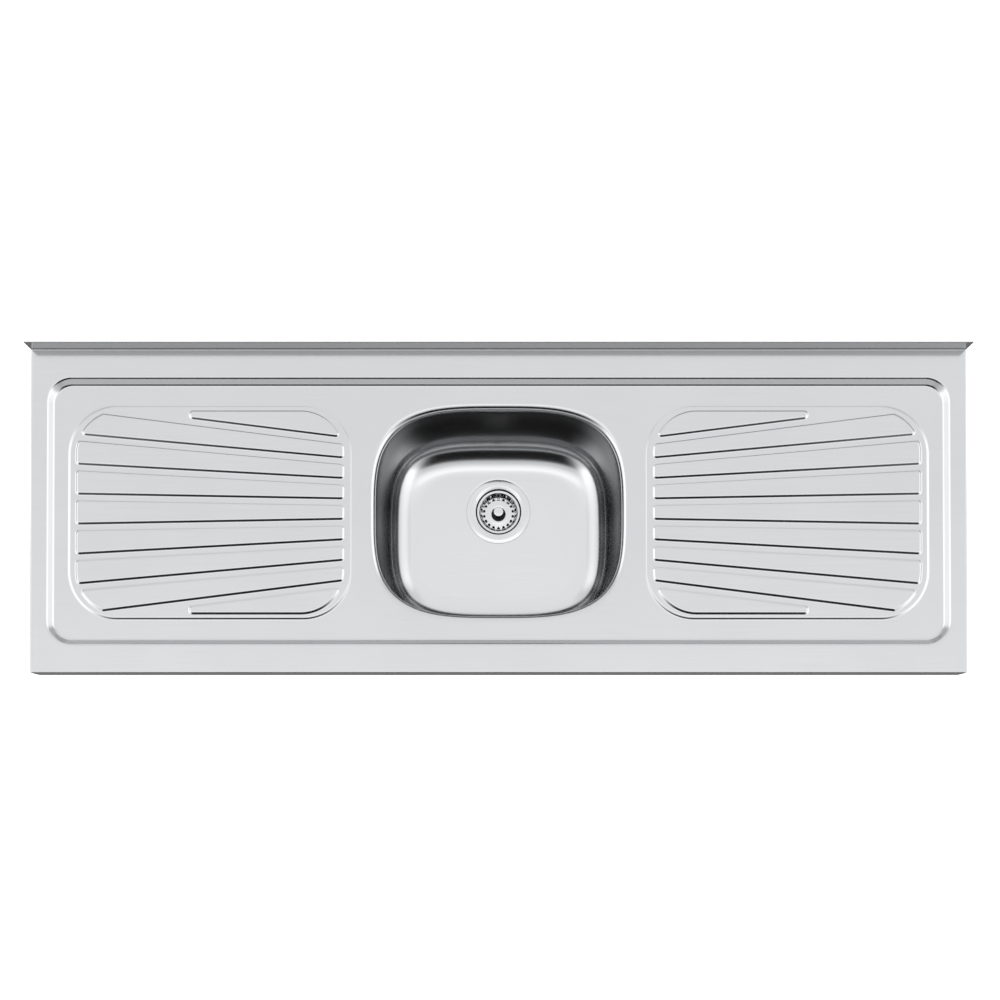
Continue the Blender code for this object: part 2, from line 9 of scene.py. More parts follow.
import bmesh
import bpy
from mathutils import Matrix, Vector


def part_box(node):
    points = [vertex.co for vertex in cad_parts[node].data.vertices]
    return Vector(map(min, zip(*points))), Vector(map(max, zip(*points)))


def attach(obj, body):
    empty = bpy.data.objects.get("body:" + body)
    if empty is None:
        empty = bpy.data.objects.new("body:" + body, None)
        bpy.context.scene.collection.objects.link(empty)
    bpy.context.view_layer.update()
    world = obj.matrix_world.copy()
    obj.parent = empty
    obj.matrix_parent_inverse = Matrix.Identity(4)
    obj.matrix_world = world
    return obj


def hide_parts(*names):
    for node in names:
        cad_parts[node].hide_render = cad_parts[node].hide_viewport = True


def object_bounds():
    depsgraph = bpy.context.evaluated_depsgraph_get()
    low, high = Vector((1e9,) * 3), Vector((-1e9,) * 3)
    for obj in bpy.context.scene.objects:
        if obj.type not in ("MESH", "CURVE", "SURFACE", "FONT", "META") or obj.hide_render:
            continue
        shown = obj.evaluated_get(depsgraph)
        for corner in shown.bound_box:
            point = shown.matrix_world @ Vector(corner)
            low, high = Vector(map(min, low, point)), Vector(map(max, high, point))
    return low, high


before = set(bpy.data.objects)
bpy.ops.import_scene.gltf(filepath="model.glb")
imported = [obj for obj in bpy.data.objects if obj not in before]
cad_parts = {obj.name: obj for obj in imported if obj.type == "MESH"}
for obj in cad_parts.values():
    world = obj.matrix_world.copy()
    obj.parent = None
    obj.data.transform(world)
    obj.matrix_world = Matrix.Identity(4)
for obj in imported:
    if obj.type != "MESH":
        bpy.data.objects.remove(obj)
cad_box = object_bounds()

# ---------------------------------------- dimensions

SHEET = 0.001
GAP = 0.0003
GUARD = 0.0003
UP = Vector((0, 0, 1))

# Deck: the flat border, its bent edges and the hemmed upstand
DECK_LOW, DECK_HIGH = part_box("deck_sheet")
HALF_LENGTH = DECK_HIGH.x
FRONT_Y = DECK_LOW.y
UPSTAND_HEIGHT = DECK_HIGH.z
APRON_HEIGHT = -DECK_LOW.z
HEM_RADIUS = SHEET
FOLD_Y = -2 * HEM_RADIUS
MIDDLE_Y = (FOLD_Y + FRONT_Y) / 2
LIP_WIDTH = 0.015
EDGE_BEND = 0.0028
EDGE_FOOT = 0.0012
PLAN_CORNER = 0.0055
FOLD_FILLET = 0.0016

# Tray: the sunk area inside the border. A step is as wide as its STEP, starts SPREAD outside its
# outline, and is rounded over the BEND share of its width at its top and at its foot
TRAY_LENGTH = 1.445
TRAY_DEPTH = 0.426
TRAY_CORNER = 0.038
TRAY_DROP = 0.010
TRAY_STEP = 0.013
TRAY_SPREAD = 0.003
TRAY_BEND = 0.32

# Drainboards: a plateau on the tray, with a fan of ribs on each plateau
BOARD_OUTER_X = 0.692
BOARD_INNER_X = 0.236
BOARD_DEPTH = 0.345
BOARD_CORNER = 0.078
BOARD_RISE = 0.0015
BOARD_STEP = 0.0058
BOARD_SPREAD = 0.0014
BOARD_BEND = 0.5
FIELD_END_INSET = 0.012
FIELD_SIDE_INSET = 0.008
RIB_RISE = 0.0022
RIB_CORNER = 0.006
RIB_COUNT = 7
RIB_CHANNEL = 0.0085
FAN_PITCH_OUTER = 0.0484
FAN_PITCH_INNER = 0.0329
SHORT_RIB_NOSE_X = 0.498
SHORT_RIB_NOSE_RADIUS = 0.0066

# Bowl
BOWL_HALF_LENGTH = 0.209
BOWL_HALF_DEPTH = 0.176
BOWL_SQUARENESS = 3.35
BOWL_POINTS = 192
BOWL_DEPTH = 0.140
FLOOR_SQUARENESS = 4.2
MOUTH_RADIUS = 0.010
WALL_DRAFT = {"side": 0.012, "rear": 0.014, "front": 0.001}
FLOOR_FILLET = {"side": 0.054, "rear": 0.054, "front": 0.050}
FLOOR_FILLET_Z = 0.040
WELL_RADIUS = 0.0553
WELL_ROUNDING = 0.0028
WELL_DIP = 0.0004
WELL_TURN = math.radians(50)
WELL_DROP = 0.0026
HOLE_RADIUS = 0.044

# Waste, under the crown of its flange
WASTE_Y = FOLD_Y - 0.224
FLANGE_CROWN = 0.0006
FLANGE_RADIUS = 0.0533
FLANGE_REACH = 0.0551
CUP_RADIUS = 0.0385
CUP_WALL = 0.0012
SPIGOT_RADIUS = 0.024
SPIGOT_BORE = 0.0205
SPIGOT_END = 0.062
LOCK_NUT_RADIUS = 0.054
LOCK_NUT_HOLLOW = 0.004
TAIL_RADIUS = 0.0195
TAIL_BORE = 0.0177
COUPLING_NUT_RADIUS = 0.030
COUPLING_NUT_HOLLOW = 0.0012

# Basket: its sheet from its middle outwards, as (radius, height below the crown)
BASKET_PROFILE = (
    (0.0040, -0.0140),
    (0.0170, -0.0150),
    (0.0225, -0.0158),
    (0.0282, -0.0158),
    (0.0328, -0.0056),
    (0.0338, -0.0045),
    (0.0366, -0.0042),
    (0.0376, -0.0054),
)
FLOOR_BAND = 2
WALL_BAND = 3
BASKET_SHEET = 0.0008
HOLE_COUNT = 18
FLOOR_HOLE_CIRCLE = 0.0255
FLOOR_HOLE_RADIUS = 0.002
SLOT_HALF_LENGTH = 0.0046
SLOT_HALF_WIDTH = 0.0019
KNOB_RADIUS = 0.0083
# Painted shade on the knob: its faces further than this below the crown are black rubber
KNOB_PAINTED_SHADE_DEPTH = 0.001

# Stiffeners
STIFFENER_CROWN = 0.030
STIFFENER_FLANGE = 0.014

# Heights
TRAY_Z = -TRAY_DROP
BOARD_Z = TRAY_Z + BOARD_RISE
RIB_Z = BOARD_Z + RIB_RISE
MOUTH_Z = TRAY_Z - MOUTH_RADIUS
FLOOR_Z = TRAY_Z - BOWL_DEPTH
WELL_Z = FLOOR_Z - WELL_DROP
CROWN_Z = FLOOR_Z + FLANGE_CROWN

# Steel: its greys on the flats, and the painted shade on the bowl's walls and on the bowl's two ends
STEEL_DARK = 0.56
STEEL_LIGHT = 0.61
STEEL_ROUGHNESS = 0.17
WALL_PAINTED_SHADE = 0.20
END_WALL_PAINTED_SHADE = 0.07
SIDE_WALL_X = 0.150
MOUTH_X = 0.195

# Light: its brightness by the angle in degrees from straight up, towards the wall where positive
FRONT_TO_BACK = (
    (-180, 0.20), (-120, 0.30), (-90, 0.20), (-86, 0.20), (-79, 0.78), (-69, 0.86), (-63, 0.01),
    (-31, 0.01), (-25, 0.86), (-18, 0.92), (-10, 1.4), (-1, 1.7), (4, 1.22), (8, 1.21), (14, 1.15),
    (22, 1.17), (50, 1.15), (70, 1.1), (84, 0.9), (100, 0.7), (120, 0.40), (180, 0.20),
)
# The same towards either end. Low on the diagonals it fades to the DIAGONAL_LIGHT share
ENDS = (
    (0, 1.2), (30, 1.2), (42, 1.7), (52, 1.9), (62, 1.9), (74, 1.6), (82, 1.1), (91, 0.25),
    (120, 0.25), (180, 0.20),
)
BRIGHTEST = 4.0
ASIDE_FROM, ASIDE_TO = 0.25, 0.70
DIAGONAL_FROM, DIAGONAL_TO = 0.36, 0.62
DIAGONAL_LIGHT = 0.5
FLOOR_RADIUS = 14

# Camera
CAMERA_PLACE = (-0.0026, -0.7078, 1.8)
CAMERA_TILT = math.radians(0.642)
CAMERA_LENS = 40.61
CAMERA_SHIFT = (0.0030, 0.2770)

# ---------------------------------------- node helpers


class Shading:
    """A material's node tree, with short calls for the nodes that the finishes share."""

    def __init__(self, name, colour, metallic, roughness):
        self.material = bpy.data.materials.new(name)
        self.material.use_nodes = True
        self.tree = self.material.node_tree
        self.shader = self.tree.nodes["Principled BSDF"]
        self.set("Base Color", (*colour, 1))
        self.set("Metallic", metallic)
        self.set("Roughness", roughness)

    def add(self, kind, **inputs):
        node = self.tree.nodes.new(kind)
        for name, value in inputs.items():
            self.feed(node, name.replace("_", " "), value)
        return node

    def feed(self, node, name, value):
        if isinstance(value, bpy.types.NodeSocket):
            self.tree.links.new(value, node.inputs[name])
        else:
            node.inputs[name].default_value = value

    def set(self, name, value):
        """Feeds an input of the finish itself, with a value or from a node."""
        self.feed(self.shader, name, value)

    def places(self):
        return self.add("ShaderNodeTexCoord").outputs["Object"]

    def stretched(self, coordinates, scale):
        node = self.add("ShaderNodeMapping", Vector=coordinates, Scale=scale)
        return node.outputs["Vector"]

    def noise(self, coordinates, scale=1.0, detail=2.0, roughness=0.5):
        node = self.add("ShaderNodeTexNoise", Vector=coordinates, Scale=scale, Detail=detail,
                        Roughness=roughness)
        return node.outputs["Fac"]

    def between(self, value, low, high, start=0.0, end=1.0):
        node = self.add("ShaderNodeMapRange", Value=value, From_Min=start, From_Max=end,
                        To_Min=low, To_Max=high)
        return node.outputs["Result"]

    def combine(self, operation, first, second):
        node = self.add("ShaderNodeMath")
        node.operation = operation
        self.feed(node, 0, first)
        self.feed(node, 1, second)
        return node.outputs[0]

    def blend(self, factor, first, second):
        node = self.add("ShaderNodeMix")
        node.data_type = "RGBA"
        self.feed(node, 0, factor)
        self.feed(node, 6, first)
        self.feed(node, 7, second)
        return node.outputs[2]

    def bump(self, height, depth):
        node = self.add("ShaderNodeBump", Height=height, Distance=depth)
        self.set("Normal", node.outputs["Normal"])


def grey(value, tint=0.0):
    """A linear grey, a little bluer for a positive tint."""
    return (value * (1 - tint), value, value * (1 + tint), 1)


# ---------------------------------------- finishes


def brushed_steel(name, lightness=1.0, wall_uv_and_shade=False):
    """Satin stainless steel with brush lines along X, and round the walls of a drawn bowl, where painted
    shade makes the colour darker up the walls and darker still towards the bowl's two ends.
    """
    look = Shading(name, (0.8, 0.8, 0.8), 1.0, 0.2)
    places = look.places()
    lines = look.stretched(places, (9, 700, 700))
    hairs = look.stretched(places, (40, 3600, 3600))
    if wall_uv_and_shade:
        walls = look.add("ShaderNodeUVMap")
        walls.uv_map = "around"
        across, _, height = look.add("ShaderNodeSeparateXYZ", Vector=places).outputs
        on_floor = look.between(height, 1.0, 0.0, FLOOR_Z + SHEET / 2, FLOOR_Z + 6 * SHEET)
        around = walls.outputs["UV"]
        lines = look.blend(on_floor, look.stretched(around, (700, 9, 1)), lines)
        hairs = look.blend(on_floor, look.stretched(around, (3600, 40, 1)), hairs)
    line = look.noise(lines, detail=3)
    hair = look.noise(hairs, detail=2)
    cloud = look.noise(places, scale=5, detail=3, roughness=0.6)
    tone = look.combine("ADD", look.between(line, -0.5, 0.5), look.between(cloud, -0.4, 0.4))
    colour = look.blend(look.between(tone, 0.0, 1.0, -0.5, 0.5), grey(STEEL_DARK * lightness, 0.012),
                        grey(STEEL_LIGHT * lightness, 0.008))
    if wall_uv_and_shade:
        # Painted shade: the colour turns to a dark grey up the bowl's walls, from near the floor to
        # below the mouth.
        painted_wall_shade = look.between(height, 1.0, 0.0, MOUTH_Z - 0.04, FLOOR_Z + 0.02)
        colour = look.blend(painted_wall_shade, colour, grey(WALL_PAINTED_SHADE, 0.012))
        # Painted shade: the colour turns nearly black towards the bowl's two ends, between SIDE_WALL_X
        # and MOUTH_X.
        painted_end_shade = look.between(look.combine("ABSOLUTE", across, 0.0), 0.0, 1.0, SIDE_WALL_X, MOUTH_X)
        colour = look.blend(painted_end_shade, colour, grey(END_WALL_PAINTED_SHADE, 0.012))
    look.set("Base Color", colour)
    streak = look.combine("ADD", look.between(line, -0.035, 0.035), look.between(cloud, -0.03, 0.03))
    look.set("Roughness", look.combine("ADD", streak, STEEL_ROUGHNESS))
    look.bump(look.combine("ADD", hair, look.combine("MULTIPLY", line, 0.6)), 0.000004)
    tangent = look.add("ShaderNodeTangent")
    tangent.direction_type = "UV_MAP"
    tangent.uv_map = "brush"
    look.set("Tangent", tangent.outputs["Tangent"])
    look.set("Anisotropic", 0.3)
    return look.material


def polished_steel():
    """Bright steel with faint buffing swirls."""
    look = Shading("polished_steel", (0.8, 0.8, 0.8), 1.0, 0.1)
    places = look.places()
    swirl = look.noise(places, scale=160, detail=4, roughness=0.6)
    cloud = look.noise(places, scale=18, detail=3)
    look.set("Base Color", look.blend(cloud, grey(0.58, 0.01), grey(0.68, 0.006)))
    look.set("Roughness", look.between(swirl, 0.07, 0.2))
    look.bump(look.noise(places, scale=1400, detail=2), 0.000003)
    return look.material


def galvanised_steel():
    """Zinc coating with its patchwork of crystals."""
    look = Shading("galvanised_steel", (0.6, 0.61, 0.62), 1.0, 0.42)
    places = look.places()
    cells = look.add("ShaderNodeTexVoronoi", Vector=places, Scale=130.0, Randomness=1.0)
    shade = look.add("ShaderNodeSeparateColor", Color=cells.outputs["Color"]).outputs[0]
    dust = look.noise(places, scale=900, detail=3)
    look.set("Base Color", look.blend(shade, grey(0.42, 0.02), grey(0.66, 0.02)))
    look.set("Roughness", look.combine("ADD", look.between(shade, 0.3, 0.48),
                                       look.between(dust, -0.04, 0.04)))
    look.bump(dust, 0.00002)
    return look.material


def moulded(name, dark, light, roughness, grain_scale, grain_depth):
    """Rubber, fibre or plastic: a mottled colour, a fine grain and a roughness that follows it."""
    look = Shading(name, dark[:3], 0.0, roughness)
    places = look.places()
    grain = look.noise(places, scale=grain_scale, detail=4, roughness=0.65)
    cloud = look.noise(places, scale=60, detail=3)
    mottle = look.combine("ADD", look.combine("MULTIPLY", grain, 0.6),
                          look.combine("MULTIPLY", cloud, 0.4))
    share = look.between(mottle, 0.0, 1.0, 0.3, 0.7)
    look.set("Base Color", look.blend(share, dark, light))
    look.set("Roughness", look.between(grain, roughness - 0.08, roughness + 0.08))
    look.bump(grain, grain_depth)
    return look.material


# ---------------------------------------- outlines, as lists of 2-D points


def angles(steps, turn=math.pi / 2):
    """The angles along an arc in that many steps, with both of its ends."""
    return [turn * step / steps for step in range(steps + 1)]


def rounded_rectangle(left, right, front, rear, radius, steps):
    points = []
    corners = ((right, rear, 0), (left, rear, 90), (left, front, 180), (right, front, 270))
    for x, y, start in corners:
        centre = Vector((x - math.copysign(radius, x - (left + right) / 2),
                         y - math.copysign(radius, y - (front + rear) / 2)))
        for step in range(steps + 1):
            angle = math.radians(start + 90 * step / steps)
            points.append(centre + radius * Vector((math.cos(angle), math.sin(angle))))
    return points


def superellipse(half_x, half_y, centre_y, count, squareness=BOWL_SQUARENESS):
    """A bowl outline, squarer than an ellipse, with a point on each of count even spokes."""
    points = []
    for step in range(count):
        angle = math.tau * step / count
        cosine, sine = math.cos(angle), math.sin(angle)
        reach = (abs(cosine) ** squareness + abs(sine) ** squareness) ** (-1 / squareness)
        points.append(Vector((half_x * reach * cosine, centre_y + half_y * reach * sine)))
    return points


def circle(radius, centre, count):
    turns = [math.tau * step / count for step in range(count)]
    return [Vector(centre) + radius * Vector((math.cos(turn), math.sin(turn))) for turn in turns]


def clip(points, place, inward):
    """The part of a convex outline on the inward side of a straight line through place."""
    kept = []
    for here, after in zip(points, points[1:] + points[:1]):
        depth, next_depth = (here - place).dot(inward), (after - place).dot(inward)
        if depth >= 0:
            kept.append(here)
        if depth * next_depth < 0:
            kept.append(here.lerp(after, depth / (depth - next_depth)))
    return kept


def round_corners(points, radius_at, steps, sharpest=160):
    """Swaps each real corner for an arc, and leaves the gentle bends of an arc as they are."""
    rounded = []
    for before, here, after in zip(points[-1:] + points[:-1], points, points[1:] + points[:1]):
        to_before, to_after = (before - here).normalized(), (after - here).normalized()
        inside = to_before.angle(to_after)
        radius = radius_at(here)
        if inside > math.radians(sharpest) or radius == 0:
            rounded.append(here)
            continue
        room = 0.45 * min((before - here).length, (after - here).length)
        radius = min(radius, room * math.tan(inside / 2))
        centre = here + (to_before + to_after).normalized() * radius / math.sin(inside / 2)
        start = here + to_before * radius / math.tan(inside / 2) - centre
        end = here + to_after * radius / math.tan(inside / 2) - centre
        turn = start.angle_signed(end)
        for angle in angles(steps, -turn):
            spoke = Vector((start.x * math.cos(angle) - start.y * math.sin(angle),
                            start.x * math.sin(angle) + start.y * math.cos(angle)))
            rounded.append(centre + spoke)
    return rounded


def walk(points, start, step, distance):
    """The place that far along a closed outline from one of its points, and the last point passed."""
    index = start
    while True:
        here, after = points[index % len(points)], points[(index + step) % len(points)]
        leg = (after - here).length
        if leg > distance:
            return here.lerp(after, distance / leg), index
        distance -= leg
        index += step


def ease_corners(points, radius_at, steps=10, sharpest=160):
    """Rounds the sharp corners of an outline, reaching past the short sides next to them."""
    curves, dropped = {}, set()
    for corner, here in enumerate(points):
        before, after = points[corner - 1], points[(corner + 1) % len(points)]
        inside = (before - here).angle(after - here)
        if inside > math.radians(sharpest):
            continue
        reach = radius_at(here) / math.tan(inside / 2)
        start, first = walk(points, corner, -1, reach)
        end, last = walk(points, corner, 1, reach)
        towards = (points[first % len(points)] - points[(first - 1) % len(points)]).normalized()
        onwards = (points[(last + 1) % len(points)] - points[last % len(points)]).normalized()
        turn = towards.angle(onwards)
        handle = (end - start).length / (2 * math.sin(turn / 2)) * 4 / 3 * math.tan(turn / 4)
        hull = (start, start + handle * towards, end - handle * onwards, end)
        curves[corner] = [bezier(hull, step / steps) for step in range(steps + 1)]
        dropped.update(index % len(points) for index in range(first, last + 1))
    eased = []
    for index, here in enumerate(points):
        if index in curves:
            eased += curves[index]
        elif index not in dropped:
            eased.append(here)
    return eased


def bezier(hull, share):
    """A point of the cubic curve with these four control points."""
    first, second, third, fourth = hull
    rest = 1 - share
    return (rest ** 3 * first + 3 * rest ** 2 * share * second
            + 3 * rest * share ** 2 * third + share ** 3 * fourth)


def inset(points, distance):
    """An anticlockwise outline moved inwards, each point along the mitre of its two sides."""
    moved = []
    for before, here, after in zip(points[-1:] + points[:-1], points, points[1:] + points[:1]):
        first = (here - before).normalized()
        second = (after - here).normalized()
        mitre = Vector((-first.y, first.x)) + Vector((-second.y, second.x))
        mitre = 2 * mitre / mitre.length_squared
        moved.append(here + distance * mitre)
    return moved


def without_short_sides(points, shortest=0.0008):
    return [here for here, after in zip(points, points[1:] + points[:1])
            if (after - here).length > shortest]


def mirrored(points):
    """The outline on the other side of x = 0, still anticlockwise."""
    return [Vector((-point.x, point.y)) for point in reversed(points)]


# ---------------------------------------- bmesh building blocks


def add_loop(bm, points, z):
    return [bm.verts.new((point.x, point.y, z)) for point in points]


def bridge(bm, first, second):
    """Quads between two closed loops of the same length."""
    count = len(first)
    for i in range(count):
        j = (i + 1) % count
        bm.faces.new((first[i], first[j], second[j], second[i]))


def strip(bm, first, second):
    """Quads between two open rows of the same length."""
    for i in range(len(first) - 1):
        bm.faces.new((first[i], first[i + 1], second[i + 1], second[i]))


def join(bm, rows, between=bridge):
    """Quads from each loop or row to the next one."""
    for first, second in zip(rows, rows[1:]):
        between(bm, first, second)


def fill(bm, *loops):
    """Fills the flat area inside the first loop and outside the others."""
    edges = []
    for loop in loops:
        for start, end in zip(loop, loop[1:] + loop[:1]):
            edges.append(bm.edges.get((start, end)) or bm.edges.new((start, end)))
    bmesh.ops.triangle_fill(bm, use_beauty=False, edges=edges)


def close_up(bm):
    bmesh.ops.remove_doubles(bm, verts=bm.verts, dist=1e-7)
    bmesh.ops.recalc_face_normals(bm, faces=bm.faces)
    return bm


def face_up(bm, end):
    """Turns a sheet so that its lowest face (end=min) or its highest one (end=max) looks up."""
    bmesh.ops.recalc_face_normals(bm, faces=bm.faces)
    if end(bm.faces, key=lambda face: face.calc_center_median().z).normal.z < 0:
        bmesh.ops.reverse_faces(bm, faces=bm.faces)


def turned(profile, segments):
    """A profile of (radius, height) points turned about the axis of the waste."""
    bm = bmesh.new()
    points = [bm.verts.new((point[0], WASTE_Y, point[1])) for point in profile]
    on_axis = profile[0][0] == 0
    ends = points[1:] if on_axis else points[1:] + points[:1]
    edges = [bm.edges.new(pair) for pair in zip(points, ends)]
    bmesh.ops.spin(bm, geom=points + edges, cent=(0, WASTE_Y, 0), axis=UP, angle=math.tau,
                   steps=segments, use_merge=True)
    return close_up(bm)


def softened(profile, radius, steps=4):
    """A closed or axis-to-axis profile with its corners rounded."""
    points = [Vector(point) for point in profile]
    on_axis = profile[0][0] == 0
    return round_corners(points, lambda corner: 0 if on_axis and corner.x == 0 else radius,
                         steps, sharpest=172)


def prism(outlines, levels):
    """An upright solid: for each (inset, z) level a ring of every outline, closed at both ends."""
    bm = bmesh.new()
    rings = [[add_loop(bm, inset(outline, distance if number == 0 else -distance), z)
              for distance, z in levels] for number, outline in enumerate(outlines)]
    for ring in rings:
        join(bm, ring)
    fill(bm, *[ring[0] for ring in rings])
    fill(bm, *[ring[-1] for ring in rings])
    return close_up(bm)


def brush_direction(mesh):
    """A UV map whose U runs across the brush lines: they lie along X, or along Y on the two ends."""
    uv = mesh.uv_layers.new(name="brush").data
    for face in mesh.polygons:
        upright = abs(face.normal.z) < 0.7071
        for loop in face.loop_indices:
            x, y, z = mesh.vertices[mesh.loops[loop].vertex_index].co
            if not upright:
                uv[loop].uv = (y, -x)
            elif abs(face.normal.y) >= abs(face.normal.x):
                uv[loop].uv = (z, -x)
            else:
                uv[loop].uv = (z, y)


def add_object(name, data):
    made = bpy.data.objects.new(name, data)
    bpy.context.scene.collection.objects.link(made)
    return made


def add_mesh(name, bm, material):
    mesh = bpy.data.meshes.new(name)
    bm.to_mesh(mesh)
    bm.free()
    mesh.materials.append(material)
    return add_object(name, mesh)


def add_piece(name, bm, material, body, slot, *nodes, sharp=40):
    """Makes a visible piece of the mesh, riding on its body in place of its nodes."""
    piece = add_mesh(name, bm, material)
    piece.data.shade_smooth()
    piece.data.set_sharp_from_angle(angle=math.radians(sharp))
    brush_direction(piece.data)
    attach(piece, body)
    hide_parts(*nodes)
    return piece


def thicken(piece, thickness, side):
    """Gives a sheet its thickness, above its faces (side=1) or below them (side=-1)."""
    solidify = piece.modifiers.new("sheet", "SOLIDIFY")
    solidify.thickness = thickness
    solidify.offset = side


def weight_normals(piece):
    """Leans each normal towards its largest face, so that flats stay flat up to their bends."""
    modifier = piece.modifiers.new("flats", "WEIGHTED_NORMAL")
    modifier.mode = "FACE_AREA"
    modifier.keep_sharp = True


# ---------------------------------------- the pressed top


def board_outline():
    """The plateau of the drainboard at +x; the other one mirrors it."""
    half = BOARD_DEPTH / 2
    return rounded_rectangle(BOARD_INNER_X, BOARD_OUTER_X, MIDDLE_Y - half, MIDDLE_Y + half,
                             BOARD_CORNER, 20)


def fan_line(lines_from_middle):
    """A point on a channel's centre line, and its direction towards the outer end."""
    inner = Vector((BOARD_INNER_X + FIELD_END_INSET, MIDDLE_Y))
    outer = Vector((BOARD_OUTER_X - FIELD_END_INSET, MIDDLE_Y))
    inner.y += lines_from_middle * FAN_PITCH_INNER
    outer.y += lines_from_middle * FAN_PITCH_OUTER
    return inner, (outer - inner).normalized()


def rib_outlines():
    """The foot of each rib of the drainboard at +x, from the rear one to the front one."""
    half = BOARD_DEPTH / 2 - FIELD_SIDE_INSET
    field = rounded_rectangle(BOARD_INNER_X + FIELD_END_INSET, BOARD_OUTER_X - FIELD_END_INSET,
                              MIDDLE_Y - half, MIDDLE_Y + half, BOARD_CORNER - FIELD_SIDE_INSET, 20)
    nose = Vector((SHORT_RIB_NOSE_X, MIDDLE_Y))
    outlines = []
    for row in range(RIB_COUNT + 2):
        outline = field
        for line, side in ((row - 1, -1), (row, 1)):
            if not 0 <= line <= RIB_COUNT:
                continue
            place, along = fan_line(RIB_COUNT / 2 - line)
            across = side * Vector((-along.y, along.x))
            outline = clip(outline, place + across * RIB_CHANNEL / 2, across)
        if row in (0, RIB_COUNT + 1):
            outline = clip(outline, nose, Vector((-1, 0)))
        outline = without_short_sides(outline)
        outlines.append(ease_corners(outline, rib_corner_radius))
    return outlines


def rib_corner_radius(corner):
    on_nose = abs(corner.x - SHORT_RIB_NOSE_X) < GAP
    return SHORT_RIB_NOSE_RADIUS if on_nose else RIB_CORNER


def step_rise(share, bend):
    """How far up a step is, that share of the way across, with a bend of that share at each end."""
    if share > 0.5:
        return 1 - step_rise(1 - share, bend)
    if share < bend:
        return share * share / (2 * bend * (1 - bend))
    return (share - bend / 2) / (1 - bend)


def add_step(bm, outline, foot_z, crest_z, width, spread, bend, steps):
    """A step between two levels, level at both ends and straight or steepest in the middle.

    It starts that much outside the outline. Returns its outer and its inner loop.
    """
    start = -spread
    loops = [add_loop(bm, inset(outline, start - GUARD), foot_z)]
    for step in range(steps + 1):
        share = step / steps
        loops.append(add_loop(bm, inset(outline, start + share * width),
                              foot_z + step_rise(share, bend) * (crest_z - foot_z)))
    loops.append(add_loop(bm, inset(outline, start + width + GUARD), crest_z))
    join(bm, loops)
    return loops[0], loops[-1]


def add_relief(bm, lift, steps):
    """One side of the pressed sheet, from the tray's outline inwards to the bowl's mouth."""
    half = TRAY_DEPTH / 2
    tray = rounded_rectangle(-TRAY_LENGTH / 2, TRAY_LENGTH / 2, MIDDLE_Y - half, MIDDLE_Y + half,
                             TRAY_CORNER, 20)
    border, tray_floor = add_step(bm, tray, lift, TRAY_Z + lift, TRAY_STEP, TRAY_SPREAD,
                                  TRAY_BEND, 3 * steps)
    holes = []
    for side in (mirrored, list):
        board = side(board_outline())
        foot, plateau = add_step(bm, board, TRAY_Z + lift, BOARD_Z + lift, BOARD_STEP,
                                 BOARD_SPREAD, BOARD_BEND, steps)
        holes.append(foot)
        feet = []
        for outline in rib_outlines():
            rib_foot, crest = add_step(bm, side(outline), BOARD_Z + lift, RIB_Z + lift,
                                       BOARD_STEP, BOARD_SPREAD, BOARD_BEND, steps)
            fill(bm, crest)
            feet.append(rib_foot)
        fill(bm, plateau, *feet)
    radius = MOUTH_RADIUS + lift
    rings = [(-GUARD, 0.0)]
    for angle in angles(steps):
        rings.append((radius * math.sin(angle), (radius - GUARD) * (1 - math.cos(angle))))
    rings.append((radius, radius))
    rings = [add_loop(bm, superellipse(BOWL_HALF_LENGTH - inwards, BOWL_HALF_DEPTH - inwards,
                                       MIDDLE_Y, BOWL_POINTS), TRAY_Z + lift - drop)
             for inwards, drop in rings]
    join(bm, rings)
    fill(bm, tray_floor, rings[0], *holes)
    return border, rings[-1]


def perimeter(reach):
    """The right half of a line round the ends and the front, that far out from the flat's edge."""
    corner = PLAN_CORNER - EDGE_BEND
    x, y = HALF_LENGTH - PLAN_CORNER, FRONT_Y + PLAN_CORNER
    points = []
    for angle in angles(8):
        spoke = (corner + reach) * Vector((math.sin(angle), -math.cos(angle)))
        points.append(Vector((x, y)) + spoke)
    return points


def add_row(bm, reach, z, rear_y):
    """A row of vertices from the rear left, round the front, to the rear right."""
    right = perimeter(reach)
    right.append(Vector((HALF_LENGTH - EDGE_BEND + reach, rear_y)))
    left = [Vector((-point.x, point.y)) for point in reversed(right)]
    return add_loop(bm, left + right, z)


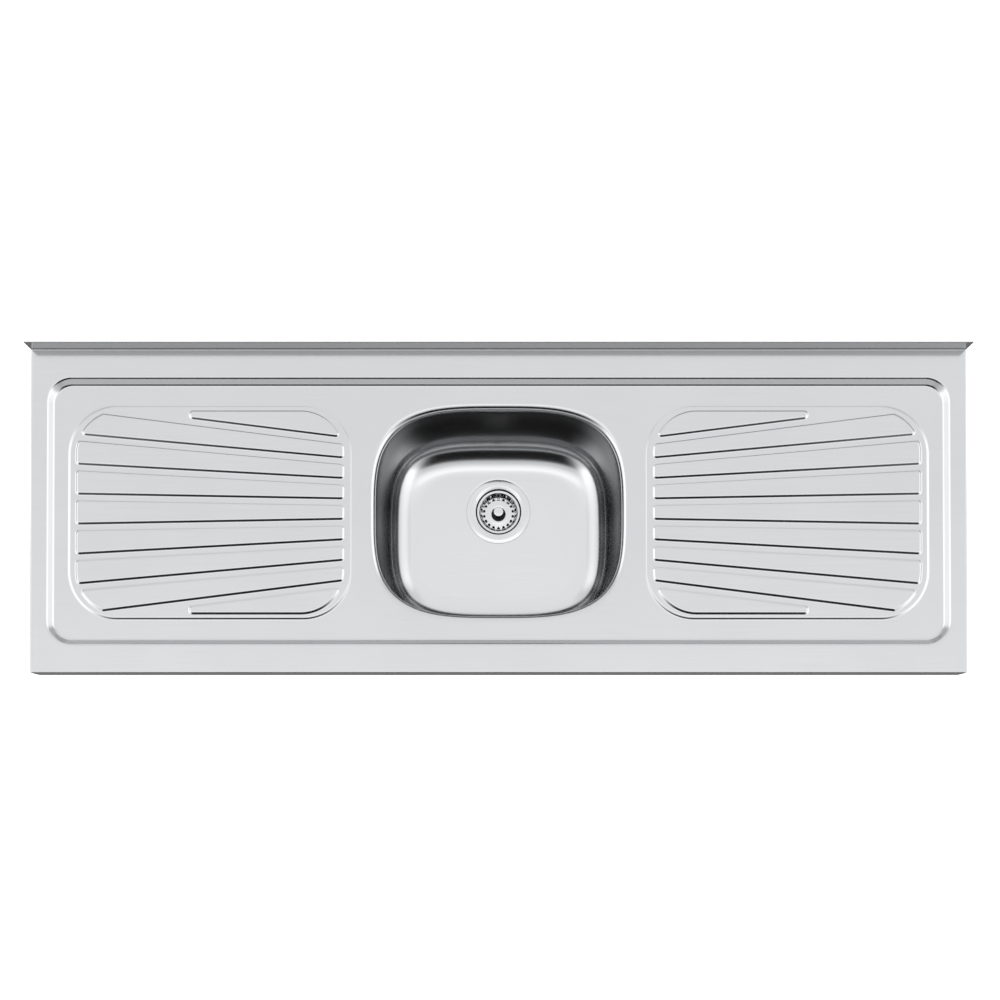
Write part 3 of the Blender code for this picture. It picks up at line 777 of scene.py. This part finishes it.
def add_outer_faces(bm):
    """The bent edges, the apron and the upstand. Returns the loop of the flat and of the foot."""
    bend_steps, fillet_steps, hem_steps, foot_steps = 8, 5, 8, 4
    fillet_y = FOLD_Y - FOLD_FILLET
    bends = [(EDGE_BEND * math.sin(angle), -EDGE_BEND * (1 - math.cos(angle)))
             for angle in angles(bend_steps)]
    rows = [add_row(bm, reach, z, fillet_y) for reach, z in bends]
    join(bm, rows, strip)

    flat_front = add_row(bm, -GUARD, 0, fillet_y - GUARD)
    columns = []
    for side in (-1, 1):
        for reach, level in bends:
            x = side * (HALF_LENGTH - EDGE_BEND + reach)
            column = []
            for angle in angles(fillet_steps)[1:]:
                column.append(bm.verts.new((x, fillet_y + FOLD_FILLET * math.sin(angle),
                                            level + FOLD_FILLET * (1 - math.cos(angle)))))
            columns.append(column)
    left, right = columns[:bend_steps + 1], columns[bend_steps + 1:]
    for row, column in zip(rows, left):
        column.insert(0, row[0])
    for row, column in zip(rows, right):
        column.insert(0, row[-1])
    join(bm, left[::-1] + right, strip)

    hem_z = UPSTAND_HEIGHT - HEM_RADIUS
    hems = []
    for angle in angles(hem_steps, math.pi):
        y, z = FOLD_Y / 2 - HEM_RADIUS * math.cos(angle), hem_z + HEM_RADIUS * math.sin(angle)
        hems.append([bm.verts.new((side * HALF_LENGTH, y, z)) for side in (-1, 1)])
    for lower, upper in zip(hems, hems[1:]):
        bm.faces.new((lower[0], lower[1], upper[1], upper[0]))
    fold = [column[-1] for column in left[::-1] + right]
    bm.faces.new([hems[0][1], hems[0][0]] + fold)

    feet = []
    for angle in angles(foot_steps):
        reach = EDGE_BEND - EDGE_FOOT * (1 - math.cos(angle))
        z = -APRON_HEIGHT + EDGE_FOOT * (1 - math.sin(angle))
        feet.append(add_row(bm, reach, z, 0))
    join(bm, feet, strip)
    strip(bm, rows[-1][1:-1], feet[0][1:-1])
    for side, end, column in ((0, 1, left[-1]), (-1, -2, right[-1])):
        bm.faces.new([rows[-1][end]] + column + [hem[side] for hem in hems]
                     + [feet[0][side], feet[0][end]])
    bm.faces.new([hems[-1][0], hems[-1][1]] + [foot[-1] for foot in feet]
                 + [foot[0] for foot in reversed(feet)])
    strip(bm, flat_front, rows[0])
    bm.faces.new((flat_front[0], flat_front[-1], rows[0][-1], rows[0][0]))
    return flat_front, feet[-1]


def add_rectangle(bm, margin, rear_y, z):
    """A four-point loop that far inside the deck's ends and front, with its own rear line."""
    x, front = HALF_LENGTH - margin, FRONT_Y + margin
    corners = ((-x, rear_y), (-x, front), (x, front), (x, rear_y))
    return [bm.verts.new((*corner, z)) for corner in corners]


def make_sink_top(steel):
    """The whole sheet with its thickness: relief above and below, edges, apron, lip and upstand."""
    bm = bmesh.new()
    border, mouth = add_relief(bm, 0, 8)
    under_border, under_mouth = add_relief(bm, -SHEET, 3)
    bridge(bm, mouth, under_mouth)
    flat, foot = add_outer_faces(bm)
    fill(bm, flat, border)
    lip = add_rectangle(bm, LIP_WIDTH, -LIP_WIDTH, -APRON_HEIGHT)
    lip_top = add_rectangle(bm, LIP_WIDTH, -LIP_WIDTH, -APRON_HEIGHT + SHEET)
    apron_inside = add_rectangle(bm, 2 * SHEET, -2 * SHEET, -APRON_HEIGHT + SHEET)
    under_deck = add_rectangle(bm, 2 * SHEET, -2 * SHEET, -SHEET)
    join(bm, [lip, lip_top, apron_inside, under_deck])
    fill(bm, foot, lip)
    fill(bm, under_deck, under_border)
    bmesh.ops.recalc_face_normals(bm, faces=bm.faces)
    piece = add_piece("sink_top", bm, steel, "sink", "brushed_steel", "deck_sheet", sharp=50)
    weight_normals(piece)


# ---------------------------------------- bowl


def bowl_outline(down_wall, round_fillet):
    """The inside of the bowl, that share of the way down its wall and round its fillet."""
    def inwards(side):
        return MOUTH_RADIUS + WALL_DRAFT[side] * down_wall + FLOOR_FILLET[side] * round_fillet

    rear, front = BOWL_HALF_DEPTH - inwards("rear"), BOWL_HALF_DEPTH - inwards("front")
    squareness = BOWL_SQUARENESS + (FLOOR_SQUARENESS - BOWL_SQUARENESS) * round_fillet
    return superellipse(BOWL_HALF_LENGTH - inwards("side"), (rear + front) / 2,
                        MIDDLE_Y + (rear - front) / 2, BOWL_POINTS, squareness)


def bowl_rings():
    """(outline, z) from the mouth down to the floor."""
    fillet_top = FLOOR_Z + FLOOR_FILLET_Z
    rings = [(bowl_outline(0, 0), MOUTH_Z), (bowl_outline(0, 0), MOUTH_Z - GUARD)]
    wall_steps, fillet_steps = 12, 24
    for step in range(1, wall_steps + 1):
        share = step / wall_steps
        rings.append((bowl_outline(share ** 1.5, 0),
                      MOUTH_Z - GUARD + (fillet_top - MOUTH_Z + GUARD) * share))
    for angle in angles(fillet_steps)[1:]:
        rings.append((bowl_outline(1, 1 - math.cos(angle)),
                      fillet_top - FLOOR_FILLET_Z * math.sin(angle)))
    return rings


def make_bowl(steel):
    """The bowl's inner surface, from its mouth to the edge of its hole, thickened outwards."""
    bm = bmesh.new()
    around = bm.loops.layers.uv.new("around")
    loops = [add_loop(bm, outline, z) for outline, z in bowl_rings()]
    downs = [0.0]
    for upper, lower in zip(loops, loops[1:]):
        downs.append(downs[-1] + (lower[0].co - upper[0].co).length)
    arcs = [0.0]
    for here, after in zip(loops[0], loops[0][1:] + loops[0][:1]):
        arcs.append(arcs[-1] + (after.co - here.co).length)
    for level, (outer, inner) in enumerate(zip(loops, loops[1:])):
        for i in range(BOWL_POINTS):
            j = (i + 1) % BOWL_POINTS
            face = bm.faces.new((outer[i], outer[j], inner[j], inner[i]))
            corners = ((downs[level], arcs[i]), (downs[level], arcs[i + 1]),
                       (downs[level + 1], arcs[i + 1]), (downs[level + 1], arcs[i]))
            for loop, corner in zip(face.loops, corners):
                loop[around].uv = corner
    well = []
    reach = WELL_RADIUS + WELL_ROUNDING
    sides = [(reach + GUARD, FLOOR_Z)]
    for angle in angles(6, WELL_TURN):
        sides.append((reach - WELL_ROUNDING * math.sin(angle) / math.sin(WELL_TURN),
                      FLOOR_Z - WELL_DIP * (1 - math.cos(angle)) / (1 - math.cos(WELL_TURN))))
    sides += [(WELL_RADIUS - 0.0001, WELL_Z), (HOLE_RADIUS, WELL_Z)]
    for radius, z in sides:
        well.append(add_loop(bm, circle(radius, (0, WASTE_Y), BOWL_POINTS), z))
    join(bm, well)
    fill(bm, loops[-1], well[0])
    face_up(bm, min)
    bowl = add_piece("bowl_shell", bm, steel, "sink", "brushed_steel", "bowl")
    thicken(bowl, SHEET, side=-1)


# ---------------------------------------- waste


def lobed_circle(radius, depth, lobes, count, sharpness=1.0):
    """A nut's outline: a circle with shallow hollows for a wrench or fingers."""
    points = []
    for step in range(count):
        angle = math.tau * step / count
        hollow = (0.5 - 0.5 * math.cos(lobes * angle)) ** sharpness
        spoke = Vector((math.cos(angle), math.sin(angle)))
        points.append(Vector((0, WASTE_Y)) + (radius - depth * hollow) * spoke)
    return points


def on_crown(profile):
    """A profile whose heights are measured from the crown of the flange."""
    return [(reach, CROWN_Z + z) for reach, z in profile]


def make_waste_body(chrome):
    """The flange, the seat of the basket, the cup and the threaded spigot under it."""
    reach, cup, outside = FLANGE_REACH, CUP_RADIUS, CUP_RADIUS + CUP_WALL
    profile = on_crown((
        (reach, -0.0009), (reach - 0.0002, -0.0007), (reach - 0.0060, 0), (cup + 0.0066, -0.0001),
        (cup + 0.0010, -0.0014), (cup + 0.0002, -0.0045), (cup, -0.0066), (cup, -0.0380),
        (cup - 0.0030, -0.0425), (SPIGOT_BORE, -0.0455), (SPIGOT_BORE, -SPIGOT_END),
        (SPIGOT_RADIUS, -SPIGOT_END), (SPIGOT_RADIUS, -0.0472), (outside - 0.0030, -0.0440),
        (outside, -0.0390), (outside, -0.0066), (cup + 0.0038, -0.0017), (reach, -0.0017)))
    add_piece("waste_body", turned(softened(profile, 0.0006), 128), chrome, "sink",
              "polished_steel", "strainer_body")


def make_ring(name, node, box, material, slot, inner, outer, softness):
    """A gasket or washer as high as the box of its node."""
    low, high = box
    profile = [(inner, low.z), (outer, low.z), (outer, high.z), (inner, high.z)]
    add_piece(name, turned(softened(profile, softness), 96), material, "sink", slot, node)


def make_lock_nut(plastic):
    low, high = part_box("lock_nut")
    bore = CUP_RADIUS + CUP_WALL + 0.0005
    outlines = [
        lobed_circle(LOCK_NUT_RADIUS, LOCK_NUT_HOLLOW, lobes=8, count=192, sharpness=2.0),
        circle(bore, (0, WASTE_Y), 96),
    ]
    edge = 0.0012
    levels = [(edge, low.z), (0.35 * edge, low.z + 0.35 * edge), (0.0, low.z + edge),
              (0.0, high.z - edge), (0.35 * edge, high.z - 0.35 * edge), (edge, high.z)]
    add_piece("waste_lock_nut", prism(outlines, levels), plastic, "sink", "nut_plastic", "lock_nut")


def make_tail(chrome):
    """The outlet tube, with a flange at its top and a bead near its lower end."""
    low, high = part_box("tailpiece")
    reach, flange, bead = TAIL_RADIUS, SPIGOT_RADIUS - 0.0002, 0.0006
    profile = [(TAIL_BORE, high.z), (TAIL_BORE, low.z), (reach, low.z), (reach, low.z + 0.008),
               (reach + bead, low.z + 0.009), (reach + bead, low.z + 0.0105),
               (reach, low.z + 0.0115), (reach, high.z - 0.002), (flange, high.z - 0.002),
               (flange, high.z)]
    add_piece("outlet_tail", turned(softened(profile, 0.0005), 96), chrome, "sink",
              "polished_steel", "tailpiece")


def make_coupling_nut(plastic):
    """A ribbed nut, closed round the tube by a lip at its lower end."""
    low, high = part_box("coupling_nut")
    grip = lobed_circle(COUPLING_NUT_RADIUS, COUPLING_NUT_HOLLOW, lobes=24, count=192)
    bm = bmesh.new()
    sides = [(0.0028, low.z), (0.0012, low.z + 0.0006), (0.0003, low.z + 0.0016),
             (0.0, low.z + 0.0030), (0.0, high.z - 0.0016), (0.0004, high.z - 0.0005),
             (0.0014, high.z)]
    rings = [add_loop(bm, inset(grip, distance), z) for distance, z in sides]
    wide, narrow, lip = SPIGOT_RADIUS + 0.0005, TAIL_RADIUS + GAP, low.z + 0.0025
    bores = [(wide, high.z), (wide, lip), (narrow, lip), (narrow, low.z)]
    rings += [add_loop(bm, circle(radius, (0, WASTE_Y), 192), z) for radius, z in bores]
    join(bm, rings + rings[:1])
    add_piece("tail_nut", close_up(bm), plastic, "sink", "nut_plastic", "coupling_nut")


def make_waste(chrome, rubber, fibre, plastic):
    make_waste_body(chrome)
    make_ring("rim_gasket", "upper_gasket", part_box("upper_gasket"), rubber, "seal_rubber",
              HOLE_RADIUS + 0.001, FLANGE_RADIUS - 0.001, softness=0.0003)
    make_ring("flange_gasket", "lower_gasket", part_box("lower_gasket"), rubber, "seal_rubber",
              CUP_RADIUS + 0.0050, FLANGE_RADIUS, softness=0.0009)
    make_ring("slip_ring", "friction_ring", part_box("friction_ring"), fibre, "slip_ring",
              CUP_RADIUS + CUP_WALL + 0.0006, FLANGE_RADIUS, softness=0.0003)
    make_lock_nut(plastic)
    make_ring("tail_washer", "outlet_washer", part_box("outlet_washer"), rubber, "seal_rubber",
              SPIGOT_BORE, SPIGOT_RADIUS - 0.0002, softness=0.0005)
    make_tail(chrome)
    make_coupling_nut(plastic)


# ---------------------------------------- basket strainer


def blank_radii():
    """The radii on the flat blank, before it is drawn, of the basket's bends."""
    radii = [BASKET_PROFILE[0][0]]
    for (radius, z), (next_radius, next_z) in zip(BASKET_PROFILE, BASKET_PROFILE[1:]):
        radii.append(radii[-1] + math.hypot(next_radius - radius, next_z - z))
    return radii


def basket_point(point, radii):
    """Folds a point of the flat blank up into the basket."""
    bends = list(zip(radii, BASKET_PROFILE))
    for (start, (radius, z)), (end, (next_radius, next_z)) in zip(bends, bends[1:]):
        if point.length <= end + 1e-6:
            share = (point.length - start) / (end - start)
            spoke = point.normalized() * (radius + share * (next_radius - radius))
            return Vector((spoke.x, spoke.y + WASTE_Y, CROWN_Z + z + share * (next_z - z)))
    raise ValueError("a point lies outside the basket's blank")


def spoke_hole(reach, half_length, half_width, turn, count=20):
    """A round hole or a slot along a spoke of the blank, clockwise so that it is a hole."""
    points = []
    for step in range(count):
        angle = -math.tau * (step + 0.5) / count
        along = reach + math.copysign(half_length - half_width, math.cos(angle)) \
            + half_width * math.cos(angle)
        across = half_width * math.sin(angle)
        points.append(Vector((along * math.cos(turn) - across * math.sin(turn),
                              along * math.sin(turn) + across * math.cos(turn))))
    return points


def make_basket(steel):
    """A flat blank with its holes and slots, folded up into the basket and given its thickness."""
    bm = bmesh.new()
    sides = 8
    count = sides * HOLE_COUNT
    radii = blank_radii()
    rings = [add_loop(bm, circle(radius, (0, 0), count), 0) for radius in radii]
    slot_reach = (radii[WALL_BAND] + radii[WALL_BAND + 1]) / 2
    holes = {FLOOR_BAND: (FLOOR_HOLE_CIRCLE, FLOOR_HOLE_RADIUS, FLOOR_HOLE_RADIUS),
             WALL_BAND: (slot_reach, SLOT_HALF_LENGTH, SLOT_HALF_WIDTH)}
    for band, (inner, outer) in enumerate(zip(rings, rings[1:])):
        if band not in holes:
            bridge(bm, outer, inner)
            continue
        for step in range(HOLE_COUNT):
            first = step * sides
            indices = [index % count for index in range(first, first + sides + 1)]
            cell = [inner[i] for i in indices] + [outer[i] for i in reversed(indices)]
            turn = math.tau * (step + 0.5) / HOLE_COUNT
            fill(bm, cell, add_loop(bm, spoke_hole(*holes[band], turn), 0))
    for vertex in bm.verts:
        vertex.co = basket_point(vertex.co.to_2d(), radii)
    face_up(bm, max)
    basket = add_piece("strainer_basket", bm, steel, "basket", "polished_steel", "basket_cup")
    thicken(basket, BASKET_SHEET, side=1)


def make_strainer(chrome, rubber):
    """The lift-out strainer. Its heights are measured from the crown of the waste's flange."""
    stem, collar, knob = 0.0028, 0.0055, KNOB_RADIUS
    fit = stem + GAP
    pieces = (
        ("strainer_post", "basket_post", chrome, "polished_steel", 0.0004, (
            (0, -0.0485), (stem, -0.0485), (stem, -0.0377), (0.0050, -0.0377), (0.0050, -0.0360),
            (0.0035, -0.0345), (0.0035, -0.0175), (collar, -0.0160), (collar, -0.0145),
            (stem, -0.0145), (stem, -0.0065), (0, -0.0065))),
        ("strainer_knob", "basket_knob", chrome, "polished_steel", 0.0003, (
            (0, 0.0018), (0.0060, 0.0016), (knob - 0.0004, 0.0012), (knob, 0.0008), (knob, 0.0002),
            (knob - 0.0008, -0.0012), (0.0045, -0.0062), (0.0042, -0.0110), (0.0056, -0.0128),
            (fit, -0.0128), (fit, -0.0062), (0, -0.0062))),
        ("strainer_stopper", "basket_stopper", rubber, "seal_rubber", 0.0007, (
            (fit, -0.0442), (0.0240, -0.0442), (0.0245, -0.0425), (0.0220, -0.0400),
            (fit, -0.0380))),
        ("strainer_nut", "stopper_nut", chrome, "polished_steel", 0.0003, (
            (fit, -0.0476), (0.0055, -0.0476), (0.0060, -0.0470), (0.0060, -0.0445),
            (fit, -0.0445))),
    )
    for name, node, material, slot, radius, profile in pieces:
        shape = turned(softened(on_crown(profile), radius), 72)
        piece = add_piece(name, shape, material, "strainer", slot, node)
        # Painted shade: the knob's faces a little below the crown get the black rubber. This makes a
        # dark underside where the chrome knob is only shaded, so that it and its reflection in the
        # basket's floor look dark.
        if node == "basket_knob":
            piece.data.materials.append(rubber)
            for face in piece.data.polygons:
                face.material_index = int(face.center.z < CROWN_Z - KNOB_PAINTED_SHADE_DEPTH)


# ---------------------------------------- under the top


def make_stiffener(number, steel):
    """A hat section along Y, its flanges up against the underside of the tray."""
    low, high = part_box(f"stiffener_{number}")
    x, top = (low.x + high.x) / 2, high.z
    half, end = STIFFENER_CROWN / 2, STIFFENER_CROWN / 2 + STIFFENER_FLANGE
    inside = [(end, top), (half, top), (half - 2 * SHEET, low.z + SHEET)]
    outside = [(half - SHEET, low.z), (half + SHEET, top - SHEET), (end, top - SHEET)]
    section = inside + [(-across, z) for across, z in inside[::-1] + outside[::-1]] + outside
    section = round_corners([Vector(point) for point in section], lambda corner: 0.0012, 4)
    bm = bmesh.new()
    ends = [[bm.verts.new((x + point.x, y, point.y)) for point in section] for y in (low.y, high.y)]
    bridge(bm, *ends)
    for end in ends:
        fill(bm, end)
    add_piece(f"top_stiffener_{number}", close_up(bm), steel, "sink", "galvanised_steel",
              f"stiffener_{number}")


def make_pad(side, rubber):
    """A damping pad against the underside of the bowl, its lower edge rounded."""
    low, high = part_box(f"damping_pad_{side}")
    outline = rounded_rectangle(low.x, high.x, low.y, high.y, 0.008, 8)
    edge = 0.0008
    levels = [(edge, low.z), (0.3 * edge, low.z + 0.3 * edge), (0.0, low.z + edge), (0.0, high.z)]
    add_piece(f"bowl_pad_{side}", prism([outline], levels), rubber, "sink", "damping_pad",
              f"damping_pad_{side}")


# ---------------------------------------- studio


def make_floor():
    """A plain white floor that glows a little, so that it stays white right up to the object."""
    look = Shading("studio_white", (0.9, 0.9, 0.9), 0.0, 0.9)
    look.set("Specular IOR Level", 0.0)
    look.set("Emission Color", (1, 1, 1, 1))
    look.set("Emission Strength", 0.9)
    bm = bmesh.new()
    bmesh.ops.create_circle(bm, cap_ends=True, segments=96, radius=FLOOR_RADIUS)
    bmesh.ops.translate(bm, vec=(0, 0, cad_box[0].z - 0.001), verts=bm.verts)
    floor = add_mesh("studio_floor", bm, look.material)
    floor.visible_glossy = False


def make_world():
    """Soft light from all round: bright overhead and at the ends, darker low in front."""
    world = bpy.data.worlds.new("studio")
    bpy.context.scene.world = world
    world.use_nodes = True
    tree = world.node_tree
    nodes, links = tree.nodes, tree.links

    def math_node(operation, first, second=0.0, third=0.0):
        node = nodes.new("ShaderNodeMath")
        node.operation = operation
        for socket, value in zip(node.inputs, (first, second, third)):
            if isinstance(value, bpy.types.NodeSocket):
                links.new(value, socket)
            else:
                socket.default_value = value
        return node.outputs[0]

    def ramp(value, stops):
        """Brightness along an angle in degrees from -180 to 180."""
        node = nodes.new("ShaderNodeValToRGB")
        elements = node.color_ramp.elements
        node.color_ramp.interpolation = "EASE"
        places = [(degrees + 180) / 360 for degrees, _ in stops]
        elements[0].position, elements[1].position = places[0], places[-1]
        for place in places[1:-1]:
            elements.new(place)
        for element, (_, level) in zip(elements, stops):
            element.color = (level / BRIGHTEST, level / BRIGHTEST, level / BRIGHTEST, 1)
        links.new(value, node.inputs["Fac"])
        return math_node("MULTIPLY", node.outputs["Color"], BRIGHTEST)

    def fade(value, start, end, low, high):
        """A smooth change from low to high as the value goes from start to end."""
        node = nodes.new("ShaderNodeMapRange")
        node.interpolation_type = "SMOOTHSTEP"
        links.new(value, node.inputs["Value"])
        for name, number in zip(("From Min", "From Max", "To Min", "To Max"), (start, end, low, high)):
            node.inputs[name].default_value = number
        return node.outputs["Result"]

    def angle_from_above(sideways, upwards):
        """The angle between straight up and a direction, as a share of the ramp's length."""
        return math_node("MULTIPLY_ADD", math_node("ARCTAN2", sideways, upwards), 0.5 / math.pi, 0.5)

    direction = nodes.new("ShaderNodeTexCoord").outputs["Generated"]
    split = nodes.new("ShaderNodeSeparateXYZ")
    links.new(direction, split.inputs[0])
    x, y, z = split.outputs
    front_to_back = ramp(angle_from_above(y, z), FRONT_TO_BACK)
    aside, forwards = math_node("ABSOLUTE", x), math_node("ABSOLUTE", y)
    calm = fade(forwards, DIAGONAL_FROM, DIAGONAL_TO, 1.0, DIAGONAL_LIGHT)
    end_light = math_node("MULTIPLY", ramp(angle_from_above(aside, z), ENDS), calm)
    mix = nodes.new("ShaderNodeMix")
    background = nodes["Background"]
    background.inputs["Color"].default_value = (0.985, 0.99, 1.0, 1)
    plain = nodes.new("ShaderNodeBackground")
    plain.inputs["Color"].default_value = (1, 1, 1, 1)
    path = nodes.new("ShaderNodeLightPath")
    chosen = nodes.new("ShaderNodeMixShader")
    for source, target in (
            (fade(aside, ASIDE_FROM, ASIDE_TO, 0.0, 1.0), mix.inputs[0]),
            (front_to_back, mix.inputs[2]),
            (end_light, mix.inputs[3]),
            (mix.outputs[0], background.inputs["Strength"]),
            (path.outputs["Is Camera Ray"], chosen.inputs[0]),
            (background.outputs[0], chosen.inputs[1]),
            (plain.outputs[0], chosen.inputs[2]),
            (chosen.outputs[0], nodes["World Output"].inputs["Surface"])):
        links.new(source, target)


def make_camera():
    """Above and in front of the top, looking straight down, with the picture shifted on to it."""
    camera = add_object("camera", bpy.data.cameras.new("camera"))
    camera.location = CAMERA_PLACE
    camera.rotation_euler = (CAMERA_TILT, 0, 0)
    camera.data.lens = CAMERA_LENS
    camera.data.sensor_width = 36
    camera.data.shift_x, camera.data.shift_y = CAMERA_SHIFT
    camera.data.clip_end = 60
    bpy.context.scene.camera = camera
    bpy.context.scene.view_settings.view_transform = "Standard"


# ---------------------------------------- all of it

deck_steel = brushed_steel("brushed_steel_top")
bowl_steel = brushed_steel("brushed_steel_bowl_painted_shade", lightness=1.08, wall_uv_and_shade=True)
polished = polished_steel()
zinc = galvanised_steel()
rubber = moulded("seal_rubber", grey(0.012), grey(0.03), roughness=0.62,
                 grain_scale=900, grain_depth=0.00003)
fibre = moulded("slip_ring_fibre", (0.42, 0.36, 0.25, 1), (0.56, 0.49, 0.37, 1), roughness=0.8,
                grain_scale=1400, grain_depth=0.00004)
plastic = moulded("nut_plastic", (0.54, 0.54, 0.52, 1), (0.62, 0.62, 0.60, 1), roughness=0.42,
                  grain_scale=1200, grain_depth=0.00002)
damping = moulded("damping_pad", grey(0.03), grey(0.07), roughness=0.8,
                  grain_scale=500, grain_depth=0.00012)

make_sink_top(deck_steel)
make_bowl(bowl_steel)
make_waste(polished, rubber, fibre, plastic)
make_basket(polished)
make_strainer(polished, rubber)
for number in range(1, 5):
    make_stiffener(number, zinc)
for side in ("left", "right"):
    make_pad(side, damping)
make_floor()
make_world()
make_camera()
